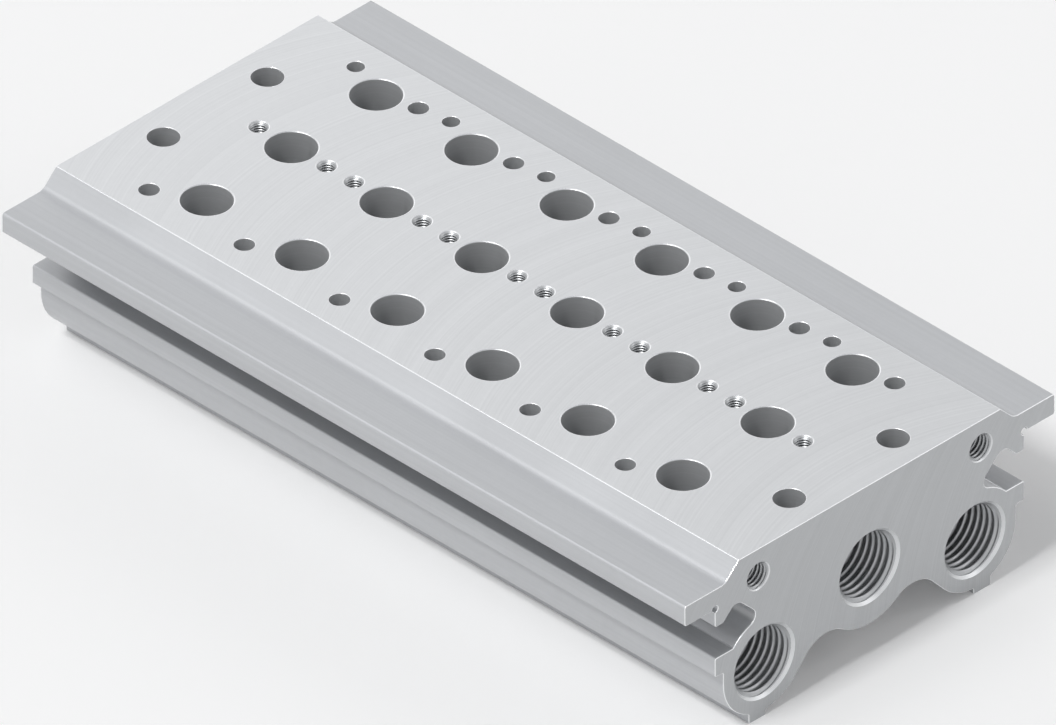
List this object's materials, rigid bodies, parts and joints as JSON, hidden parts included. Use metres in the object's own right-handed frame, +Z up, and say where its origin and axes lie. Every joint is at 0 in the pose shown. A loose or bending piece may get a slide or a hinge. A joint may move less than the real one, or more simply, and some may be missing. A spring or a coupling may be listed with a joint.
{
  "type": "manifold block",
  "caption": "Extruded aluminium rail with three lobed galleries, threaded end ports, clamp grooves along both sides and a drilled face for a row of valves.",
  "frame": {"origin": "under the middle of the rail, level with the feet", "axes": "+X along the rail towards the near end, +Y across it towards the row of two peg holes per station, +Z up out of the valve face"},
  "size_m": [0.1578, 0.0854, 0.034],
  "materials": {
    "block": "natural anodised satin, with fine lines along the extruded sides and a milled valve face and ends"
  },
  "bodies": {
    "root": {"manifold_block": "block"}
  },
  "joints": []
}
